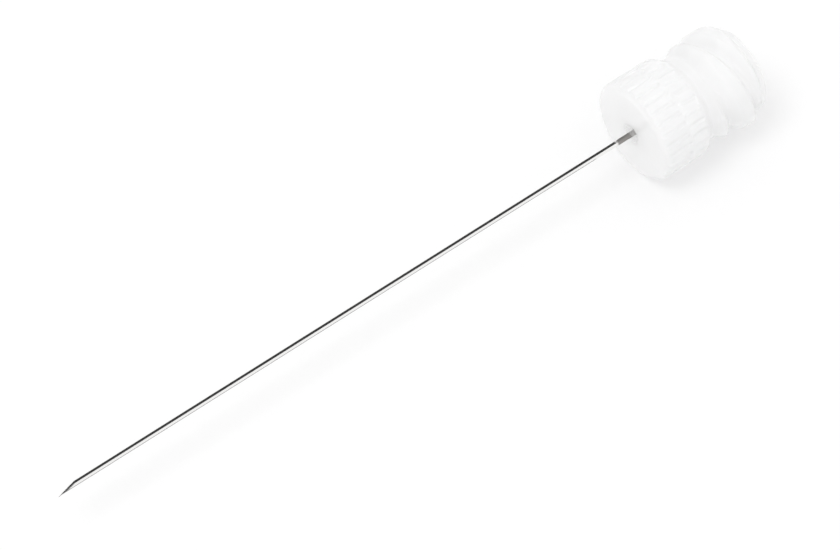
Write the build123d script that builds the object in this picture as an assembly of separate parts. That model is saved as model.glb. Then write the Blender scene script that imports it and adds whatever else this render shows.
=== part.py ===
from build123d import *
from math import cos, radians, sin
import os

# Medical needle for a syringe: a steel cannula bonded into a moulded plastic hub.
# Lengths are in millimetres. Each piece is drawn about its own axis, Z, which runs from the
# hub's front face at 0 back to the mouth of the syringe socket, with the needle's point below 0.
# The finished needle is then turned over to stand on the hub's rear end, with its point up.
# Angles round the axis are counted from +X towards +Y of that drawing, which is the side that
# lies on the table when the needle is laid down, and which faces +Y once it stands.

# Cannula, 27 gauge with a thin wall, its bevel turned about the axis from the table side
cannula_diameter = 0.41
cannula_bore = 0.25
exposed_length = 51.0
seated_length = 1.7
bevel_angle = 14.0
bevel_facing = 120.0
lancet_angle = 21.0
lancet_turn = 35.0

# Hub barrel and shoulder, the thick front part that the fingers turn
barrel_diameter = 7.9
barrel_length = 4.0
front_edge_radius = 0.55
shoulder_length = 0.75
shoulder_crown_radius = 0.45
shoulder_foot_radius = 0.3

# Hub waist, the tube behind the shoulder that carries the lock thread
hub_length = 9.9
waist_diameter = 6.6
rear_edge_chamfer = 0.15

# Grip grooves, two rings of them round the barrel, half a pitch apart
groove_count = 28
groove_depth = 0.11
groove_radius = 0.2
front_groove_start = 0.6
front_groove_length = 1.9
rear_groove_length = 2.3
rear_groove_offset = 0.5

# Lock thread, two right-hand starts
thread_starts = 2
thread_lead = 5.0
thread_diameter = 7.8
thread_crest = 0.95
thread_front_flank = 0.75
thread_rear_flank = 0.42
thread_begin = 5.6
thread_run_in = 0.95
thread_end = 9.35
thread_run_out = 0.35
thread_crest_at_table = 9.02
thread_root_sink = 0.15
thread_crest_spare = 0.2
thread_seam_angle = 180.0

# Socket for the syringe's tip, a cone that narrows by 6 mm in 100 mm
socket_mouth_diameter = 4.3
socket_depth = 7.6
socket_taper = 0.06
socket_mouth_chamfer = 0.25

# Passage between the socket and the cannula
funnel_diameter = 1.6
funnel_depth = 0.5
flow_bore = 0.3

# Bond of adhesive round the cannula, in a conical well in the front face
cannula_clearance = 0.02
well_mouth_diameter = 1.5
well_depth = 1.2
meniscus_height = 0.22

barrel_radius = barrel_diameter / 2
waist_radius = waist_diameter / 2
thread_radius = thread_diameter / 2
cannula_radius = cannula_diameter / 2
seat_radius = cannula_radius + cannula_clearance

# How far the cutters reach past what they cut
beyond = 1.0


def ring_points(radius, angle, height):
    """Point at a radius and an angle in degrees round the axis, at a height along it."""
    return (radius * cos(radians(angle)), radius * sin(radians(angle)), height)


def turned(outline):
    """Solid of revolution from a closed outline in the XZ plane, with X as the radius."""
    return revolve(Plane.XZ * make_face(outline), Axis.Z)


def hub_blank():
    """Barrel, shoulder and waist as one turned body, with its edges rounded."""
    shoulder_end = barrel_length + shoulder_length
    profile = make_face(
        Polyline(
            (0, 0),
            (barrel_radius, 0),
            (barrel_radius, barrel_length),
            (waist_radius, shoulder_end),
            (waist_radius, hub_length),
            (0, hub_length),
            close=True,
        )
    )

    def corner(radius, height):
        return profile.vertices().sort_by_distance((radius, height, 0))[0]

    profile = fillet(corner(barrel_radius, 0), front_edge_radius)
    profile = fillet(corner(barrel_radius, barrel_length), shoulder_crown_radius)
    profile = fillet(corner(waist_radius, shoulder_end), shoulder_foot_radius)
    profile = chamfer(corner(waist_radius, hub_length), rear_edge_chamfer)
    return revolve(Plane.XZ * profile, Axis.Z)


def groove_ring(start, end, offset):
    """Round-bottomed cutters for one ring of grip grooves, between two heights."""
    centre_radius = barrel_radius - groove_depth + groove_radius
    cutter = Cylinder(groove_radius, end - start, align=(Align.CENTER, Align.CENTER, Align.MIN))
    pitch = 360 / groove_count
    return [
        Pos(*ring_points(centre_radius, (i + offset) * pitch, start)) * cutter
        for i in range(groove_count)
    ]


def thread_ridge(height, length):
    """One start of the lock thread: its section in the axial plane, carried along a helix."""
    rise = thread_radius - waist_radius
    top = thread_radius + thread_crest_spare
    bottom = waist_radius - thread_root_sink

    def front(radius):
        return -thread_crest / 2 - (thread_radius - radius) * thread_front_flank / rise

    def rear(radius):
        return thread_crest / 2 + (thread_radius - radius) * thread_rear_flank / rise

    section = make_face(
        Polyline(
            (bottom, front(bottom)),
            (top, front(top)),
            (top, rear(top)),
            (bottom, rear(bottom)),
            close=True,
        )
    )
    path = Pos(0, 0, height) * Helix(thread_lead, length, waist_radius)
    return sweep(Pos(0, 0, height) * (Plane.XZ * section), path, is_frenet=True)


def lock_thread():
    """All starts of the thread, cut to the crest diameter and run in and out at the ends."""
    rise = thread_radius - waist_radius
    sunk = thread_root_sink / 2
    inner = waist_radius - sunk
    sink = sunk / rise
    sleeve = turned(
        Polyline(
            (inner, thread_begin - thread_run_in * sink),
            (thread_radius, thread_begin + thread_run_in),
            (thread_radius, thread_end - thread_run_out),
            (inner, thread_end + thread_run_out * sink),
            close=True,
        )
    )
    below = thread_begin - thread_crest - thread_front_flank
    above = thread_end + thread_crest + thread_rear_flank
    ridge = thread_ridge(below, above - below) & (Rot(0, 0, thread_seam_angle) * sleeve)
    turns = (below - thread_crest_at_table) / thread_lead
    return [
        Rot(0, 0, (turns + i / thread_starts) * 360) * ridge
        for i in range(thread_starts)
    ]


def socket_cavity():
    """Tapered socket from the rear face, its mouth chamfer, and the funnel at its bottom."""
    floor_height = hub_length - socket_depth
    mouth = socket_mouth_diameter / 2
    slope = socket_taper / 2
    end = socket_depth * slope
    outline = Polyline(
        (0, floor_height - funnel_depth),
        (flow_bore / 2, floor_height - funnel_depth),
        (funnel_diameter / 2, floor_height),
        (mouth - end, floor_height),
        (mouth - socket_mouth_chamfer * slope, hub_length - socket_mouth_chamfer),
        (mouth + socket_mouth_chamfer, hub_length),
        (mouth + socket_mouth_chamfer, hub_length + beyond),
        (0, hub_length + beyond),
        close=True,
    )
    return turned(outline)


def cannula_seat():
    """Adhesive well in the front face, the hole behind it, and the flow bore past the stop."""
    outline = Polyline(
        (0, -beyond),
        (well_mouth_diameter / 2, -beyond),
        (well_mouth_diameter / 2, 0),
        (seat_radius, well_depth),
        (seat_radius, seated_length),
        (flow_bore / 2, seated_length),
        (flow_bore / 2, hub_length - socket_depth),
        (0, hub_length - socket_depth),
        close=True,
    )
    return turned(outline)


def make_hub():
    """Moulded hub: turned body with thread, less its grooves, socket and cannula seat."""
    body = hub_blank()
    for ridge in lock_thread():
        body += ridge
    ring_split = front_groove_start + front_groove_length
    grooves = groove_ring(front_groove_start, ring_split, 0)
    grooves += groove_ring(ring_split, ring_split + rear_groove_length, rear_groove_offset)
    body -= grooves
    body -= socket_cavity()
    body -= cannula_seat()
    return body


def bevel_cutter(angle, turn):
    """Block whose lower face is one ground face of the point, through the very tip."""
    tip = Vector(*ring_points(-cannula_radius, bevel_facing, -exposed_length))
    outward = Vector(*ring_points(cos(radians(angle)), bevel_facing + turn, -sin(radians(angle))))
    side = cannula_diameter / sin(radians(bevel_angle)) * 2 + beyond
    block = Box(side, side, beyond, align=(Align.CENTER, Align.CENTER, Align.MIN))
    return Plane(origin=tip, z_dir=outward) * block


def make_cannula():
    """Steel tube with a long ground bevel, which two lancet facets sharpen at the tip."""
    length = exposed_length + seated_length
    upright = (Align.CENTER, Align.CENTER, Align.MIN)
    tube = Cylinder(cannula_radius, length, align=upright)
    tube -= Cylinder(cannula_bore / 2, length, align=upright)
    tube = Pos(0, 0, -exposed_length) * tube
    tube -= bevel_cutter(bevel_angle, 0)
    for turn in (-lancet_turn, lancet_turn):
        tube -= bevel_cutter(lancet_angle, turn)
    return tube


def make_adhesive():
    """Cured adhesive that fills the well and climbs the cannula in a small cone."""
    return turned(
        Polyline(
            (cannula_radius, well_depth),
            (seat_radius, well_depth),
            (well_mouth_diameter / 2, 0),
            (cannula_radius, -meniscus_height),
            close=True,
        )
    )


def stood_up(piece):
    """Turns a drawn piece over, its table side to +Y and the hub's rear face to height 0."""
    return Pos(0, 0, hub_length) * Rot(0, 0, 90) * Rot(180, 0, 0) * piece


pieces = {
    "hub": make_hub(),
    "cannula": make_cannula(),
    "adhesive": make_adhesive(),
}

# The origin is the centre of the socket's mouth, on the surface that the needle stands on
os.makedirs("parts", exist_ok=True)
for name, piece in pieces.items():
    export_step(stood_up(piece), f"parts/{name}.step")
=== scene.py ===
"""Looks of a medical needle: a moulded hub, a steel cannula and the adhesive that bonds them."""

import math

import bmesh
import bpy
from bpy.props import FloatProperty, FloatVectorProperty, IntProperty, PointerProperty
from bpy.types import Operator, Panel, PropertyGroup
from mathutils import Matrix, Vector


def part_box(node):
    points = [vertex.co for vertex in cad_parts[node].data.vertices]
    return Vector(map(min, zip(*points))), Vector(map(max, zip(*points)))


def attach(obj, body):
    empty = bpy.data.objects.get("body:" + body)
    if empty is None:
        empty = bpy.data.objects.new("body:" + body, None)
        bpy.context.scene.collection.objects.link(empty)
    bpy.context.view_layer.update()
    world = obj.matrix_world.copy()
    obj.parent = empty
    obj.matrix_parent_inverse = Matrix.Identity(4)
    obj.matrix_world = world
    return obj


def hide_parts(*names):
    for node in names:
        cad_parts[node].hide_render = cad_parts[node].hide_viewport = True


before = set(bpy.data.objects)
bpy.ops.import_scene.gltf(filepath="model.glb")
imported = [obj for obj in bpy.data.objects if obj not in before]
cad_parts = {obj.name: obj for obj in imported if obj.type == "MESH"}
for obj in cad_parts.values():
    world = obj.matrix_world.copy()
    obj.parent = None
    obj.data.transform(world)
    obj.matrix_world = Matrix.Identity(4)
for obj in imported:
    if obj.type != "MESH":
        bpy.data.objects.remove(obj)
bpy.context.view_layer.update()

bl_info = {
    "name": "Medical needle",
    "version": (1, 0, 0),
    "blender": (4, 5, 0),
    "location": "3D View > Sidebar > Needle",
    "description": "Builds a hypodermic needle's hub, cannula and adhesive, and their stage",
    "category": "Object",
}

BODY = "root"
MM = 0.001
TURN = 2 * math.pi

# Creases sharper than these stay sharp in the shading
STEEL_CREASE = math.radians(25)
ADHESIVE_CREASE = math.radians(40)

# The camera's sensor, in millimetres, and the nearest and farthest that it sees
SENSOR_WIDTH = 36.0
CAMERA_REACH = (0.01, 10.0)

# How far the paper reaches from the axis, and the share of it that shows as plain white
PAPER_REACH = 0.4
PAPER_GLOW = 0.1

# The way to the lamp, in shares of the camera's backward, upward and leftward directions
LAMP_BACK, LAMP_UP, LAMP_LEFT = 1.6, 0.65, 0.6

# The needle stands on the hub's rear end, its axis on Z, so the frame gives these sizes
_, hub_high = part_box("hub")
cannula_low, cannula_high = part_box("cannula")
_, adhesive_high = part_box("adhesive")


def length(name, description, default):
    """A length in metres for the panel, given here in millimetres."""
    return FloatProperty(
        name=name,
        description=description,
        default=default * MM,
        unit="LENGTH",
        subtype="DISTANCE",
        precision=6,
    )


def angle(name, description, default):
    """An angle for the panel, given here in degrees."""
    return FloatProperty(
        name=name,
        description=description,
        default=math.radians(default),
        unit="ROTATION",
        subtype="ANGLE",
    )


def share(name, description, default):
    """A share between nothing and all."""
    return FloatProperty(
        name=name,
        description=description,
        default=default,
        min=0.0,
        max=1.0,
        subtype="FACTOR",
    )


def colour(name, description, default):
    """A colour, in linear values."""
    return FloatVectorProperty(
        name=name,
        description=description,
        default=default,
        size=3,
        min=0.0,
        max=1.0,
        subtype="COLOR",
    )


class HubSettings(PropertyGroup):
    """Sizes and finish of the moulded hub, measured along its axis from its front face."""

    barrel_radius: length("Barrel radius", "Radius of the thick front part", hub_high.x / MM)
    hub_length: length("Hub length", "From the front face to the socket's mouth", hub_high.z / MM)
    front_rounding: length("Front rounding", "Radius of the barrel's front edge", 0.55)
    barrel_length: length("Barrel length", "From the front face to the shoulder", 4.0)
    shoulder_length: length("Shoulder length", "Along the slope from the barrel to the waist", 0.75)
    crown_rounding: length("Crown rounding", "Radius where the barrel meets the shoulder", 0.45)
    foot_rounding: length("Foot rounding", "Radius where the shoulder meets the waist", 0.3)
    waist_radius: length("Waist radius", "Radius of the tube behind the shoulder", 3.3)
    edge_rounding: length("Edge rounding", "Radius of the small moulded edges", 0.05)
    rear_chamfer: length("Rear chamfer", "Chamfer round the rear end", 0.15)

    groove_count: IntProperty(
        name="Grooves", description="Grip grooves in each ring", default=28, min=3
    )
    groove_depth: length("Groove depth", "Depth of a grip groove", 0.11)
    groove_half_width: length("Groove half width", "From a groove's middle to its edge", 0.177)
    groove_split: length("Groove split", "Where the front ring ends and the rear one starts", 2.5)
    groove_end: length("Groove end", "Length over which a groove runs out", 0.3)
    groove_softness: length("Groove softness", "Blend between a groove and the barrel", 0.05)

    thread_radius: length("Thread radius", "Radius over the thread's crests", 3.9)
    thread_starts: IntProperty(
        name="Thread starts", description="Ridges side by side", default=2, min=1
    )
    thread_lead: length("Thread lead", "Advance of one ridge in a turn", 5.0)
    thread_crest: length("Thread crest", "Width of a ridge's top along the axis", 0.95)
    thread_front_flank: length("Front flank", "Width of a ridge's front slope", 0.75)
    thread_rear_flank: length("Rear flank", "Width of a ridge's rear slope", 0.42)
    thread_begin: length("Thread begin", "Where the ridges start to rise", 5.6)
    thread_run_in: length("Thread run-in", "Length over which they rise", 0.95)
    thread_end: length("Thread end", "Where the ridges have run out", 9.35)
    thread_run_out: length("Thread run-out", "Length over which they fall", 0.35)
    thread_phase: length("Thread phase", "Place of a crest on the table side", 9.02)
    thread_softness: length("Thread softness", "Blend at the ridges' roots and crests", 0.1)

    mouth_radius: length("Mouth radius", "Radius of the socket at its mouth", 2.15)
    mouth_chamfer: length("Mouth chamfer", "Chamfer round the socket's mouth", 0.25)
    socket_depth: length("Socket depth", "From the mouth to the socket's floor", 7.6)
    socket_taper: FloatProperty(
        name="Socket taper", description="Change of diameter for each length", default=0.06
    )
    funnel_radius: length("Funnel radius", "Radius of the funnel at the socket's floor", 0.8)
    funnel_depth: length("Funnel depth", "Depth of the funnel", 0.5)
    flow_radius: length("Flow radius", "Radius of the passage behind the cannula", 0.15)
    seat_depth: length("Seat depth", "How far the cannula is seated", 1.7)
    seat_clearance: length("Seat clearance", "Between the cannula and its hole", 0.02)
    well_radius: length(
        "Well radius", "Radius of the adhesive's well at the front face", adhesive_high.x / MM
    )
    well_depth: length("Well depth", "Depth of the adhesive's well", 1.2)

    ring_step: length("Ring step", "Between the mesh's rings, where the form is fine", 0.085)
    segments: IntProperty(
        name="Segments", description="Points round the hub", default=392, min=24
    )
    plastic: colour("Plastic", "Colour of the natural plastic", (0.94, 0.939, 0.944))
    body: share("Body", "How solid the translucent plastic looks", 0.7)
    milkiness: length("Milkiness", "How far light scatters inside the plastic", 2.2)


class CannulaSettings(PropertyGroup):
    """Sizes and finish of the steel tube, whose point is ground three times."""

    radius: length("Radius", "Outer radius, 27 gauge", cannula_high.x / MM)
    bore_radius: length("Bore radius", "Radius of the bore", 0.125)
    low: length("Low end", "Height of the seated end", cannula_low.z / MM)
    high: length("Point", "Height of the point", cannula_high.z / MM)
    segments: IntProperty(
        name="Segments", description="Points round the tube", default=64, min=12
    )
    bevel: angle("Bevel", "Angle of the long ground face to the axis", 14.0)
    bevel_facing: angle("Bevel facing", "Direction that the bevel looks, from +Y towards +X", 120.0)
    lancet: angle("Lancet", "Angle of the two facets beside the point", 21.0)
    lancet_turn: angle("Lancet turn", "How far the facets are turned from the bevel", 35.0)
    band_length: length("Band length", "How far the roughened band reaches past the hub", 1.3)
    steel: colour("Steel", "Colour of the bright steel", (0.91, 0.905, 0.895))
    band: colour("Band", "Colour of the roughened steel", (0.40, 0.385, 0.37))


class AdhesiveSettings(PropertyGroup):
    """Sizes and finish of the cured adhesive round the cannula."""

    gap: length("Gap", "Clear of the plastic and steel, so the clear faces don't coincide", 0.03)
    sag: share("Sag", "How far the meniscus hangs below a straight cone", 0.28)
    segments: IntProperty(
        name="Segments", description="Points round the adhesive", default=96, min=12
    )
    tint: colour("Tint", "Colour of the cured adhesive", (0.97, 0.97, 0.965))
    body: share("Body", "How solid the clear adhesive looks", 0.15)


class StageSettings(PropertyGroup):
    """Camera, paper, lamp and the light from all round."""

    azimuth: angle("Azimuth", "Direction of the camera round the needle", -30.554)
    elevation: angle("Elevation", "Height of the camera above the level", 21.782)
    roll: angle("Roll", "Turn of the picture, as the needle lies in it", -122.15)
    distance: length("Distance", "From the camera to what it aims at", 500.0)
    lens: FloatProperty(name="Lens", description="Focal length in millimetres", default=304.6)
    aim: FloatVectorProperty(
        name="Aim",
        description="Point that the camera looks at",
        default=(-0.582 * MM, -0.023 * MM, 29.563 * MM),
        size=3,
        unit="LENGTH",
        subtype="TRANSLATION",
        precision=6,
    )
    paper: colour("Paper", "Colour of the paper", (0.925, 0.925, 0.925))
    lamp_power: FloatProperty(name="Lamp", description="Strength of the soft lamp", default=0.5)
    lamp_spread: angle("Lamp spread", "Angle that the lamp covers, which softens the shadow", 27.0)
    world_light: FloatProperty(
        name="World", description="Strength of the light from all round", default=0.96
    )


class Wire:
    """A node's output. Python's operators on it add Math nodes, so a formula reads as one."""

    def __init__(self, tree, output):
        self.tree, self.output = tree, output

    def math(self, operation, *others, swap=False):
        """Adds a Math node of one, two or three values, this one first unless they are swapped."""
        values = [self, *others]
        if swap:
            values.reverse()
        return wire(self.tree, "ShaderNodeMath", {"operation": operation}, dict(enumerate(values)))

    def __add__(self, other):
        return self.math("ADD", other)

    def __radd__(self, other):
        return self.math("ADD", other, swap=True)

    def __sub__(self, other):
        return self.math("SUBTRACT", other)

    def __rsub__(self, other):
        return self.math("SUBTRACT", other, swap=True)

    def __mul__(self, other):
        return self.math("MULTIPLY", other)

    def __rmul__(self, other):
        return self.math("MULTIPLY", other, swap=True)

    def __truediv__(self, other):
        return self.math("DIVIDE", other)

    def __rtruediv__(self, other):
        return self.math("DIVIDE", other, swap=True)

    def __gt__(self, other):
        return self.math("GREATER_THAN", other)

    def at_least(self, other):
        """The greater of this value and another."""
        return self.math("MAXIMUM", other)

    def at_most(self, other):
        """The smaller of this value and another."""
        return self.math("MINIMUM", other)

    def within(self):
        """This value kept between 0 and 1."""
        return self.at_least(0.0).at_most(1.0)

    def from_nearest(self):
        """Distance from the nearest whole number, with its sign."""
        return self - self.math("ROUND")


def add_node(tree, kind, settings=None, values=None):
    """Adds a node with its settings, then gives its sockets values or links, by name or number."""
    made = tree.nodes.new(kind)
    for name, value in (settings or {}).items():
        setattr(made, name, value)
    for key, value in (values or {}).items():
        socket = made.inputs[key]
        if isinstance(value, Wire):
            tree.links.new(value.output, socket)
        elif isinstance(value, bpy.types.NodeSocket):
            tree.links.new(value, socket)
        else:
            socket.default_value = value
    return made


def wire(tree, kind, settings=None, values=None, output=0):
    """Adds a node and returns one of its outputs, ready for a formula."""
    return Wire(tree, add_node(tree, kind, settings, values).outputs[output])


def mixed_colour(tree, factor, first, second):
    """Colour between two colours, each a wire or a plain RGB value."""
    def four(value):
        return value if isinstance(value, Wire) else (*value, 1.0)

    values = {0: factor, 6: four(first), 7: four(second)}
    return wire(tree, "ShaderNodeMix", {"data_type": "RGBA"}, values, output=2)


def new_material(name):
    """An empty node material, its tree and its output node."""
    made = bpy.data.materials.new(name)
    made.use_nodes = True
    made.node_tree.nodes.clear()
    return made, made.node_tree, add_node(made.node_tree, "ShaderNodeOutputMaterial")


def noise(tree, coordinates, scale, detail=2.0, roughness=0.5):
    """Noise value round 0.5 at a number of cycles a metre."""
    values = {"Vector": coordinates, "Scale": scale, "Detail": detail, "Roughness": roughness}
    return wire(tree, "ShaderNodeTexNoise", {"noise_dimensions": "3D"}, values)


def object_place(tree):
    """Place on the piece, in metres, as a wire."""
    return wire(tree, "ShaderNodeTexCoord", output="Object")


def separate(tree, vector):
    """The three parts of a vector wire."""
    made = add_node(tree, "ShaderNodeSeparateXYZ", values={0: vector})
    return [Wire(tree, made.outputs[i]) for i in range(3)]


def bump(tree, strength, distance, height):
    """A bump of the surface, for a shader's Normal."""
    values = {"Strength": strength, "Distance": distance, "Height": height}
    return wire(tree, "ShaderNodeBump", values=values)


def shades(colour_value, darkest, lightest=1.0):
    """A colour darkened and lightened by two shares, none of its parts over 1."""
    return [[min(1.0, part * amount) for part in colour_value] for amount in (darkest, lightest)]


def principled(tree, output, values):
    """Dresses a material in one Principled shader."""
    shader = wire(tree, "ShaderNodeBsdfPrincipled", values=values)
    tree.links.new(shader.output, output.inputs["Surface"])


def seen_plainly(tree):
    """1 for the rays that see the background: from the camera, by reflection and through glass."""
    light_path = add_node(tree, "ShaderNodeLightPath")
    camera, glossy, through = [
        Wire(tree, light_path.outputs[f"Is {kind} Ray"])
        for kind in ("Camera", "Glossy", "Transmission")
    ]
    return (camera + glossy + through).within()


def plastic_material(settings):
    """Natural polypropylene: milky, partly see-through, with a satin skin and faint flow marks."""
    made, tree, output = new_material("hub_plastic")
    place = object_place(tree)
    cloud = noise(tree, place, scale=900.0, detail=3.0)
    grain = noise(tree, place, scale=9000.0, detail=2.0)
    satin, cloud_gloss, grain_gloss = 0.32, 0.1, 0.04
    principled(tree, output, {
        "Base Color": mixed_colour(tree, cloud, *shades(settings.plastic, 0.99, 1.01)),
        "Roughness": satin + (cloud - 0.5) * cloud_gloss + (grain - 0.5) * grain_gloss,
        "IOR": 1.49,
        "Alpha": settings.body,
        "Subsurface Weight": 1.0,
        "Subsurface Radius": (1.0, 1.0, 1.0),
        "Subsurface Scale": settings.milkiness,
        "Normal": bump(tree, 0.05, 0.02 * MM, grain * 0.6 + cloud * 0.4),
    })
    return made


def steel_material(settings):
    """Drawn stainless tube: bright, faintly lined along its length, and roughened at the hub."""
    made, tree, output = new_material("cannula_steel")
    place = object_place(tree)
    x, y, z = separate(tree, place)

    # Fine lines that run along the tube, so they vary fast round it and slowly up it
    across, along = 0.006, 0.04
    drawn = {0: y.math("ARCTAN2", x) * across, 1: z * along, 2: 0.0}
    lines = noise(tree, wire(tree, "ShaderNodeCombineXYZ", values=drawn), scale=3000.0, detail=3.0)
    line_contrast, line_gloss, line_height = 1.6, 0.05, 0.05

    # The roughened band ends unevenly a little above the hub
    cloud = noise(tree, place, scale=1400.0)
    grit = noise(tree, place, scale=26000.0, detail=3.0, roughness=0.7)
    unevenness, fade = 0.25, 0.12 * MM
    band_edge = hub_high.z + settings.band_length + (cloud - 0.5) * unevenness * MM
    band = ((band_edge - z) / fade + 0.5).within()

    skin_share = (lines - 0.5) * line_contrast + 0.5
    skin = mixed_colour(tree, skin_share, *shades(settings.steel, 0.95))
    rough = mixed_colour(tree, grit, *shades(settings.band, 0.75))
    polish, band_roughness = 0.1, 0.45
    relief = lines * line_height * (1 - band) + grit * band
    principled(tree, output, {
        "Base Color": mixed_colour(tree, band, skin, rough),
        "Metallic": 1.0,
        "Roughness": polish + (lines - 0.5) * line_gloss + band * band_roughness,
        "Normal": bump(tree, 0.5, 0.006 * MM, relief),
    })
    return made


def adhesive_material(settings):
    """Clear cured adhesive with a soft gloss and a faint unevenness."""
    made, tree, output = new_material("cured_adhesive")
    cloud = noise(tree, object_place(tree), scale=2500.0)
    gloss, cloud_gloss = 0.3, 0.1
    principled(tree, output, {
        "Base Color": mixed_colour(tree, cloud, *shades(settings.tint, 0.97)),
        "Roughness": gloss + (cloud - 0.5) * cloud_gloss,
        "IOR": 1.45,
        "Alpha": settings.body,
        "Normal": bump(tree, 0.04, 0.02 * MM, cloud),
    })
    return made


def glow(tree, grey):
    """An even light of a plain grey."""
    values = {"Color": (grey, grey, grey, 1.0), "Strength": 1.0}
    return wire(tree, "ShaderNodeEmission", values=values)


def mixed_shader(tree, factor, first, second):
    """A shader between two shaders."""
    return wire(tree, "ShaderNodeMixShader", values={0: factor, 1: first, 2: second})


def paper_material(settings):
    """White paper that keeps shadows and reads as plain white, and is seen from its front only."""
    made, tree, output = new_material("backdrop_paper")
    diffuse = wire(tree, "ShaderNodeBsdfDiffuse", values={"Color": (*settings.paper, 1.0)})
    front = mixed_shader(tree, seen_plainly(tree) * PAPER_GLOW, diffuse, glow(tree, 1.0))
    back = wire(tree, "ShaderNodeNewGeometry", output="Backfacing")
    clear = wire(tree, "ShaderNodeBsdfTransparent")
    shader = mixed_shader(tree, back, front, clear)
    tree.links.new(shader.output, output.inputs["Surface"])
    return made


def card_material(name, grey):
    """The plain grey of a card, which is clear to what looks through the plastic."""
    made, tree, output = new_material(name)
    through = wire(tree, "ShaderNodeLightPath", output="Is Transmission Ray")
    clear = wire(tree, "ShaderNodeBsdfTransparent")
    shader = mixed_shader(tree, through, glow(tree, grey), clear)
    tree.links.new(shader.output, output.inputs["Surface"])
    return made


def rounded_outline(corners, fine_step, coarse_step):
    """Closed outline through corners (radius, height, rounding, fine), rounded and divided."""
    fewest = 3
    arcs = []
    count = len(corners)
    for i, (radius, height, rounding, fine) in enumerate(corners):
        here = Vector((radius, height))
        back = Vector(corners[i - 1][:2]) - here
        ahead = Vector(corners[(i + 1) % count][:2]) - here
        bend = math.pi - back.angle(ahead)
        cut = rounding * math.tan(bend / 2)
        start, end = here + back.normalized() * cut, here + ahead.normalized() * cut
        inward = (back.normalized() + ahead.normalized()).normalized()
        centre = here + inward * (rounding / math.cos(bend / 2))
        steps = max(fewest, math.ceil(bend * rounding / fine_step) + 1)
        first, last = start - centre, end - centre
        side = math.copysign(1.0, first.x * last.y - first.y * last.x)
        arc = []
        for k in range(steps + 1):
            turn = side * bend * k / steps
            arc.append(centre + Matrix.Rotation(turn, 2) @ first)
        arcs.append((arc, fine))
    points = []
    for i, (arc, fine) in enumerate(arcs):
        points += arc
        target = arcs[(i + 1) % count][0][0]
        run = target - arc[-1]
        step = fine_step if fine else coarse_step
        pieces = max(1, math.ceil(run.length / step))
        points += [arc[-1] + run * k / pieces for k in range(1, pieces)]
    return points


def hub_outline(s):
    """The hub's section from the adhesive well, out over the barrel and back through the socket."""
    def at(depth):
        return s.hub_length - depth

    small = s.edge_rounding
    tiny = small / 5
    slope = s.socket_taper / 2
    shoulder_end = s.barrel_length + s.shoulder_length
    seat_radius = cannula_high.x + s.seat_clearance
    floor_radius = s.mouth_radius - s.socket_depth * slope
    neck_radius = s.mouth_radius - s.mouth_chamfer * slope
    floor_depth = s.hub_length - s.socket_depth
    corners = [
        (s.well_radius, at(0), tiny, False),
        (s.barrel_radius, at(0), s.front_rounding, True),
        (s.barrel_radius, at(s.barrel_length), s.crown_rounding, True),
        (s.waist_radius, at(shoulder_end), s.foot_rounding, True),
        (s.waist_radius, at(s.hub_length - s.rear_chamfer), small, True),
        (s.waist_radius - s.rear_chamfer, at(s.hub_length), small, False),
        (s.mouth_radius + s.mouth_chamfer, at(s.hub_length), small, False),
        (neck_radius, at(s.hub_length - s.mouth_chamfer), small, False),
        (floor_radius, at(floor_depth), small * 2, False),
        (s.funnel_radius, at(floor_depth), small, False),
        (s.flow_radius, at(floor_depth - s.funnel_depth), small, False),
        (s.flow_radius, at(s.seat_depth), tiny, False),
        (seat_radius, at(s.seat_depth), tiny, False),
        (seat_radius, at(s.well_depth), tiny, False),
    ]
    coarse_step = s.ring_step * 6
    return rounded_outline(corners, s.ring_step, coarse_step)


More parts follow.
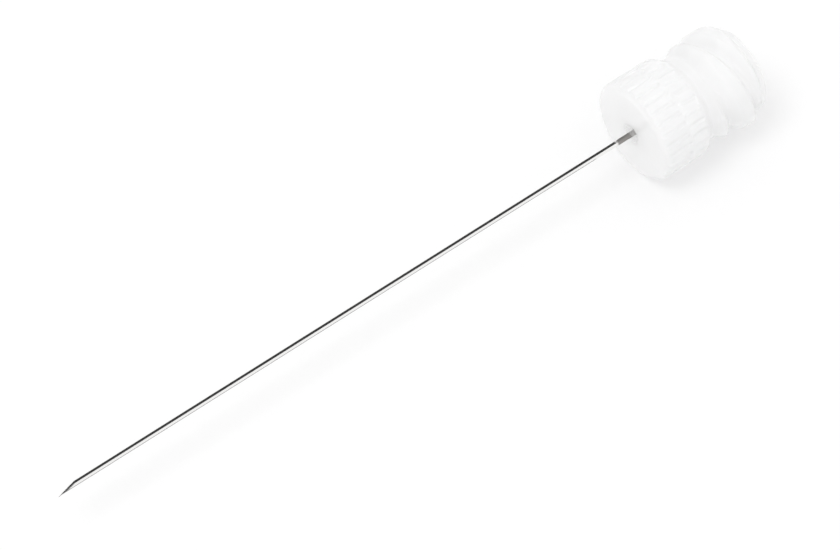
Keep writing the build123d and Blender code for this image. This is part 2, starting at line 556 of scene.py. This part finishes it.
class HubTree:
    """Geometry Nodes that turn the hub's section round the axis and form its grooves and thread."""

    def __init__(self, settings):
        self.settings = settings
        self.tree = bpy.data.node_groups.new("Moulded hub", "GeometryNodeTree")
        self.values = {}
        self.tree.interface.new_socket("Section", in_out="INPUT", socket_type="NodeSocketGeometry")
        self.named = {}
        self.group = add_node(self.tree, "NodeGroupInput")
        self.build()

    def size(self, prop, kind="NodeSocketFloat"):
        """A named input of the tree that takes its value from the settings."""
        if prop not in self.named:
            title = prop.replace("_", " ").capitalize()
            socket = self.tree.interface.new_socket(title, in_out="INPUT", socket_type=kind)
            self.named[prop] = socket.identifier
            self.values[socket.identifier] = getattr(self.settings, prop)
        index = list(self.named).index(prop) + 1
        return Wire(self.tree, self.group.outputs[index])

    def captured(self, geometry, value, title):
        """Keeps a vector on the points of a curve. Returns the curve and the kept vector."""
        made = add_node(self.tree, "GeometryNodeCaptureAttribute")
        made.capture_items.new("VECTOR", title)
        self.tree.links.new(geometry, made.inputs[0])
        self.tree.links.new(value, made.inputs[1])
        return made.outputs[0], made.outputs[1]

    def groove_floor(self, around, past_end, offset):
        """Radius of one ring of grooves: a trough across each groove that rises at its end.

        The offset is the share of a pitch by which the ring is turned.
        """
        count = self.size("groove_count", "NodeSocketInt")
        middle = (around / TURN * count + offset).from_nearest()
        across = middle * TURN / count * self.size("barrel_radius") / self.size("groove_half_width")
        rise = past_end.at_least(0.0) / self.size("groove_end")
        floor = self.size("barrel_radius") - self.size("groove_depth")
        return floor + self.size("groove_depth") * (across * across + rise * rise)

    def thread_height(self, around, depth):
        """Radius of the thread's ridges: a trapezoid about a helix, run in and out at its ends."""
        # The table side lies a quarter turn round, and the blend is a share of a ridge's height
        table_side, blend = 0.25, 0.12
        pitch = self.size("thread_lead") / self.size("thread_starts", "NodeSocketInt")
        crest = self.size("thread_phase") + self.size("thread_lead") * (table_side - around / TURN)
        along = ((depth - crest) / pitch).from_nearest() * pitch
        half = self.size("thread_crest") / 2
        front = 1 + (along + half) / self.size("thread_front_flank")
        rear = 1 + (half - along) / self.size("thread_rear_flank")
        run_in = (depth - self.size("thread_begin")) / self.size("thread_run_in")
        run_out = (self.size("thread_end") - depth) / self.size("thread_run_out")
        section = front.at_most(rear).at_most(1.0)
        height = section.math("SMOOTH_MIN", run_in.at_most(run_out), blend)
        waist = self.size("waist_radius")
        return waist + (self.size("thread_radius") - waist) * height

    def build(self):
        """Adds the nodes, from the section to the finished hub."""
        tree = self.tree
        segments = self.size("segments", "NodeSocketInt")
        section = wire(tree, "GeometryNodeMeshToCurve", values={0: self.group.outputs[0]})
        place = wire(tree, "GeometryNodeInputPosition")
        section_curve, section_place = self.captured(section.output, place.output, "Section place")
        ring = {"Resolution": segments, "Radius": 1.0}
        circle = wire(tree, "GeometryNodeCurvePrimitiveCircle", {"mode": "RADIUS"}, ring)
        circle_curve, direction = self.captured(circle.output, place.output, "Direction")
        curves = {"Curve": circle_curve, "Profile Curve": section_curve}
        skin = wire(tree, "GeometryNodeCurveToMesh", values=curves)
        radius, _, height = separate(tree, section_place)
        east, north, _ = separate(tree, direction)
        around = north.math("ARCTAN2", east)
        depth = self.size("hub_length") - height

        split, run = self.size("groove_split"), self.size("groove_end")
        front = self.groove_floor(around, depth - split + run, offset=0.0)
        rear = self.groove_floor(around, split + run - depth, offset=0.5)
        softness = self.size("groove_softness")
        carved = radius.math("SMOOTH_MIN", front, softness).math("SMOOTH_MIN", rear, softness)
        ridges = self.thread_height(around, depth)
        ridged = carved.math("SMOOTH_MAX", ridges, self.size("thread_softness"))
        outside = radius > self.size("waist_radius") - 2 * self.size("rear_chamfer")
        behind = depth > self.size("barrel_length")
        formed = carved + (ridged - carved) * outside * behind
        spread = {0: formed * east, 1: formed * north, 2: height}
        final = wire(tree, "ShaderNodeCombineXYZ", values=spread)
        moved = {"Geometry": skin, "Position": final}
        shaped = wire(tree, "GeometryNodeSetPosition", values=moved)
        smooth = wire(tree, "GeometryNodeSetShadeSmooth", {"domain": "FACE"}, {0: shaped})
        real = wire(tree, "GeometryNodeRealizeInstances", values={0: smooth})
        finish = tree.interface.new_socket(
            "Material", in_out="INPUT", socket_type="NodeSocketMaterial"
        )
        self.material_socket = finish.identifier
        tree.interface.new_socket("Hub", in_out="OUTPUT", socket_type="NodeSocketGeometry")
        dress = {"Geometry": real, "Material": self.group.outputs["Material"]}
        dressed = wire(tree, "GeometryNodeSetMaterial", values=dress)
        add_node(tree, "NodeGroupOutput", values={0: dressed})


def linked_object(name, data):
    """A new object in the scene."""
    made = bpy.data.objects.new(name, data)
    bpy.context.scene.collection.objects.link(made)
    return made


def baked_copy(source, name):
    """The result of an object's modifiers as a plain mesh object; the source is removed."""
    evaluated = source.evaluated_get(bpy.context.evaluated_depsgraph_get())
    mesh = bpy.data.meshes.new_from_object(evaluated)
    mesh.name = name
    bpy.data.objects.remove(source)
    return linked_object(name, mesh)


def outline_object(name, points):
    """A closed wire of (radius, height) points in the XZ plane, for a tree to turn."""
    mesh = bpy.data.meshes.new(name)
    edges = [(i, (i + 1) % len(points)) for i in range(len(points))]
    mesh.from_pydata([(p[0], 0.0, p[1]) for p in points], edges, [])
    return linked_object(name, mesh)


def turned_mesh(name, points, segments):
    """A closed ring-shaped mesh from a closed outline of (radius, height) points."""
    verts, faces = [], []
    count = len(points)
    for i in range(segments):
        turn = TURN * i / segments
        verts += [(r * math.cos(turn), r * math.sin(turn), z) for r, z in points]
    for i in range(segments):
        here, there = i * count, (i + 1) % segments * count
        for k in range(count):
            after = (k + 1) % count
            faces.append((here + k, there + k, there + after, here + after))
    mesh = bpy.data.meshes.new(name)
    mesh.from_pydata(verts, [], faces)
    turned_outwards(mesh)
    mesh.shade_smooth()
    return mesh


def turned_outwards(mesh):
    """Turns all faces of a closed mesh so that they point outwards."""
    work = bmesh.new()
    work.from_mesh(mesh)
    bmesh.ops.recalc_face_normals(work, faces=work.faces)
    if work.calc_volume(signed=True) < 0:
        bmesh.ops.reverse_faces(work, faces=work.faces)
    work.to_mesh(mesh)
    work.free()


def cutter(tip, outward, size):
    """A block whose near face lies through the tip and looks away from the steel."""
    mesh = bpy.data.meshes.new("grinding face")
    work = bmesh.new()
    bmesh.ops.create_cube(work, size=size)
    bmesh.ops.translate(work, verts=work.verts, vec=(0, 0, size / 2))
    turn = Vector((0, 0, 1)).rotation_difference(outward).to_matrix().to_4x4()
    work.transform(Matrix.Translation(tip) @ turn)
    work.to_mesh(mesh)
    work.free()
    return linked_object("grinding face", mesh)


def ground_tube(s):
    """The steel tube with its bevel and its two lancet facets, in millimetres."""
    radius, bore = s.radius / MM, s.bore_radius / MM
    low, high = s.low / MM, s.high / MM
    wall = [(bore, low), (radius, low), (radius, high), (bore, high)]
    tube = linked_object("tube", turned_mesh("tube", wall, s.segments))
    tip = Vector((-radius * math.sin(s.bevel_facing), -radius * math.cos(s.bevel_facing), high))
    facets = [(s.bevel, 0.0), (s.lancet, -s.lancet_turn), (s.lancet, s.lancet_turn)]
    block_size = 12 * radius / math.sin(s.bevel)
    blocks = []
    for tilt, turn in facets:
        facing = s.bevel_facing + turn
        level = math.cos(tilt)
        outward = Vector((math.sin(facing) * level, math.cos(facing) * level, math.sin(tilt)))
        blocks.append(cutter(tip, outward, block_size))
        cut = tube.modifiers.new("ground face", "BOOLEAN")
        cut.operation, cut.solver, cut.object = "DIFFERENCE", "EXACT", blocks[-1]
    made = baked_copy(tube, "cannula_tube")
    for block in blocks:
        bpy.data.objects.remove(block)
    return made


def finish_piece(piece, node):
    """Makes a piece ride on the needle's one body and hides the CAD node whose place it takes."""
    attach(piece, BODY)
    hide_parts(node)


class NEEDLE_OT_hub(Operator):
    """Build the moulded hub with its grip grooves, lock thread and tapered socket"""

    bl_idname = "needle.hub"
    bl_label = "Hub"

    def execute(self, context):
        s = context.scene.needle_hub
        source = outline_object("hub section", hub_outline(s))
        made = HubTree(s)
        modifier = source.modifiers.new("Moulded hub", "NODES")
        modifier.node_group = made.tree
        for identifier, value in made.values.items():
            modifier[identifier] = value
        modifier[made.material_socket] = plastic_material(s)
        hub = baked_copy(source, "moulded_hub")
        turned_outwards(hub.data)
        if not hub.data.polygons:
            raise RuntimeError("the hub's tree gave no faces")
        finish_piece(hub, "hub")
        return {"FINISHED"}


class NEEDLE_OT_cannula(Operator):
    """Build the steel tube with its ground point"""

    bl_idname = "needle.cannula"
    bl_label = "Cannula"

    def execute(self, context):
        s = context.scene.needle_cannula
        tube = ground_tube(s)
        tube.data.transform(Matrix.Scale(MM, 4))
        tube.data.shade_smooth()
        tube.data.set_sharp_from_angle(angle=STEEL_CREASE)
        tube.data.materials.clear()
        tube.data.materials.append(steel_material(s))
        finish_piece(tube, "cannula")
        return {"FINISHED"}


class NEEDLE_OT_adhesive(Operator):
    """Build the adhesive that fills the well and climbs the cannula"""

    bl_idname = "needle.adhesive"
    bl_label = "Adhesive"

    def execute(self, context):
        s = context.scene.needle_adhesive
        hub = context.scene.needle_hub
        inner = cannula_high.x + s.gap
        rim_radius, rim_height = hub.well_radius - s.gap, hub_high.z
        climb = adhesive_high.z - s.gap - rim_height
        bottom = hub_high.z - hub.well_depth + s.gap * 4
        steps = 16
        points = [(inner, bottom), (inner + hub.seat_clearance / 2, bottom)]
        for k in range(steps + 1):
            part = k / steps
            radius = rim_radius + (inner - rim_radius) * part
            # A parabola that hangs lowest halfway up
            drop = s.sag * 4 * part * (1 - part) * climb
            points.append((radius, rim_height + climb * part - drop))
        piece = linked_object("cured_adhesive", turned_mesh("cured_adhesive", points, s.segments))
        piece.data.set_sharp_from_angle(angle=ADHESIVE_CREASE)
        piece.data.materials.append(adhesive_material(s))
        finish_piece(piece, "adhesive")
        return {"FINISHED"}


def camera_axes(s):
    """Right, up and backward directions of the camera."""
    flat = math.cos(s.elevation)
    back = Vector((math.sin(s.azimuth) * flat, -math.cos(s.azimuth) * flat, math.sin(s.elevation)))
    level = Vector((math.cos(s.azimuth), math.sin(s.azimuth), 0))
    upright = back.cross(level)
    right = level * math.cos(s.roll) + upright * math.sin(s.roll)
    return right, back.cross(right), back


def place_camera(s):
    """The scene's camera, rolled so that the standing needle lies in the picture."""
    right, up, back = camera_axes(s)
    data = bpy.data.cameras.new("camera")
    data.lens, data.sensor_width = s.lens, SENSOR_WIDTH
    data.clip_start, data.clip_end = CAMERA_REACH
    camera = linked_object("camera", data)
    turn = Matrix((right, up, back)).transposed().to_4x4()
    camera.matrix_world = Matrix.Translation(Vector(s.aim) + back * s.distance) @ turn
    bpy.context.scene.camera = camera


def stage_sheet(name, verts, faces, material):
    """A thin sheet that belongs to the stage and not to the needle."""
    mesh = bpy.data.meshes.new(name)
    mesh.from_pydata(verts, [], faces)
    mesh.materials.append(material)
    made = linked_object(name, mesh)
    return made


def place_paper(s):
    """The white paper that the hub touches. It casts no shade, so the hub's side stays pale."""
    wall = hub_high.y
    edges = [(-1, -1), (1, -1), (1, 1), (-1, 1)]
    corners = [(x * PAPER_REACH, wall, z * PAPER_REACH) for x, z in edges]
    paper = stage_sheet("backdrop", corners, [(0, 1, 2, 3)], paper_material(s))
    paper.visible_diffuse = paper.visible_shadow = False


def place_card(s, name, grey, turns, radius, heights, lean=0.0):
    """A curved card round the needle that only reflections see.

    It stands between two angles, counted in degrees from the camera's side, and two heights.
    Lengths are in millimetres. Its lower edge ends higher than it starts by the lean.
    """
    back = camera_axes(s)[2]
    facing = math.atan2(back.y, back.x)
    start, end = [facing + math.radians(turn) for turn in turns]
    low, high = [height * MM for height in heights]
    steps = 24
    verts, faces = [], []
    for k in range(steps + 1):
        turn = start + (end - start) * k / steps
        x, y = radius * MM * math.cos(turn), radius * MM * math.sin(turn)
        verts += [(x, y, low + lean * MM * k / steps), (x, y, high)]
    for k in range(steps):
        faces.append((2 * k, 2 * k + 1, 2 * k + 3, 2 * k + 2))
    card = stage_sheet(name, verts, faces, card_material(name, grey))
    card.visible_camera = card.visible_diffuse = card.visible_shadow = False
    card.visible_transmission = card.visible_volume_scatter = False


def place_light(s):
    """A broad soft lamp from the picture's upper left, and an even light from all round."""
    right, up, back = camera_axes(s)
    data = bpy.data.lights.new("soft lamp", "SUN")
    data.energy, data.angle = s.lamp_power, s.lamp_spread
    lamp = linked_object("soft_lamp", data)
    towards = (back * LAMP_BACK + up * LAMP_UP - right * LAMP_LEFT).normalized()
    lamp.rotation_mode = "QUATERNION"
    lamp.rotation_quaternion = towards.to_track_quat("Z", "Y")

    world = bpy.data.worlds.new("studio")
    bpy.context.scene.world = world
    world.use_nodes = True
    tree = world.node_tree
    tree.nodes.clear()
    seen = seen_plainly(tree)
    values = {"Color": (1.0, 1.0, 1.0, 1.0), "Strength": seen + (1 - seen) * s.world_light}
    background = wire(tree, "ShaderNodeBackground", values=values)
    add_node(tree, "ShaderNodeOutputWorld", values={"Surface": background})


class NEEDLE_OT_stage(Operator):
    """Set the camera, the paper, the cards that the steel reflects, and the light"""

    bl_idname = "needle.stage"
    bl_label = "Stage"

    def execute(self, context):
        s = context.scene.needle_stage
        place_camera(s)
        place_paper(s)
        # They give the tube its dark line, its grey lower line and its dark point
        place_card(s, "dark_card", grey=0.05, turns=(8, 126), radius=22, heights=(0.5, 70))
        place_card(s, "grey_card", grey=0.3, turns=(-117, -88), radius=4.3, heights=(11.5, 70))
        place_card(
            s, "point_card", grey=0.1, turns=(-150, 8), radius=5, heights=(58.9, 61), lean=-1.1
        )
        place_light(s)
        context.scene.view_settings.view_transform = "Standard"
        # Pale plastic passes the light on many times
        context.scene.cycles.diffuse_bounces = 12
        return {"FINISHED"}


class NEEDLE_PT_sidebar(Panel):
    """Lists the needle's pieces and their sizes"""

    bl_idname = "NEEDLE_PT_sidebar"
    bl_label = "Medical needle"
    bl_space_type = "VIEW_3D"
    bl_region_type = "UI"
    bl_category = "Needle"

    def draw(self, context):
        for name, operator in GROUPS.items():
            box = self.layout.box()
            box.operator(operator.bl_idname)
            group = getattr(context.scene, name)
            for prop in group.bl_rna.properties:
                if prop.identifier not in ("rna_type", "name"):
                    box.prop(group, prop.identifier)


GROUPS = {
    "needle_hub": NEEDLE_OT_hub,
    "needle_cannula": NEEDLE_OT_cannula,
    "needle_adhesive": NEEDLE_OT_adhesive,
    "needle_stage": NEEDLE_OT_stage,
}
SETTINGS = {
    "needle_hub": HubSettings,
    "needle_cannula": CannulaSettings,
    "needle_adhesive": AdhesiveSettings,
    "needle_stage": StageSettings,
}


def register():
    """Registers the settings, operators and panel."""
    for name, settings in SETTINGS.items():
        bpy.utils.register_class(settings)
        setattr(bpy.types.Scene, name, PointerProperty(type=settings))
    for operator in GROUPS.values():
        bpy.utils.register_class(operator)
    bpy.utils.register_class(NEEDLE_PT_sidebar)


def unregister():
    """Removes what register added."""
    bpy.utils.unregister_class(NEEDLE_PT_sidebar)
    for operator in GROUPS.values():
        bpy.utils.unregister_class(operator)
    for name, settings in SETTINGS.items():
        delattr(bpy.types.Scene, name)
        bpy.utils.unregister_class(settings)


def main():
    """Builds the needle and its stage."""
    register()
    bpy.ops.needle.hub()
    bpy.ops.needle.cannula()
    bpy.ops.needle.adhesive()
    bpy.ops.needle.stage()


if __name__ == "__main__":
    main()
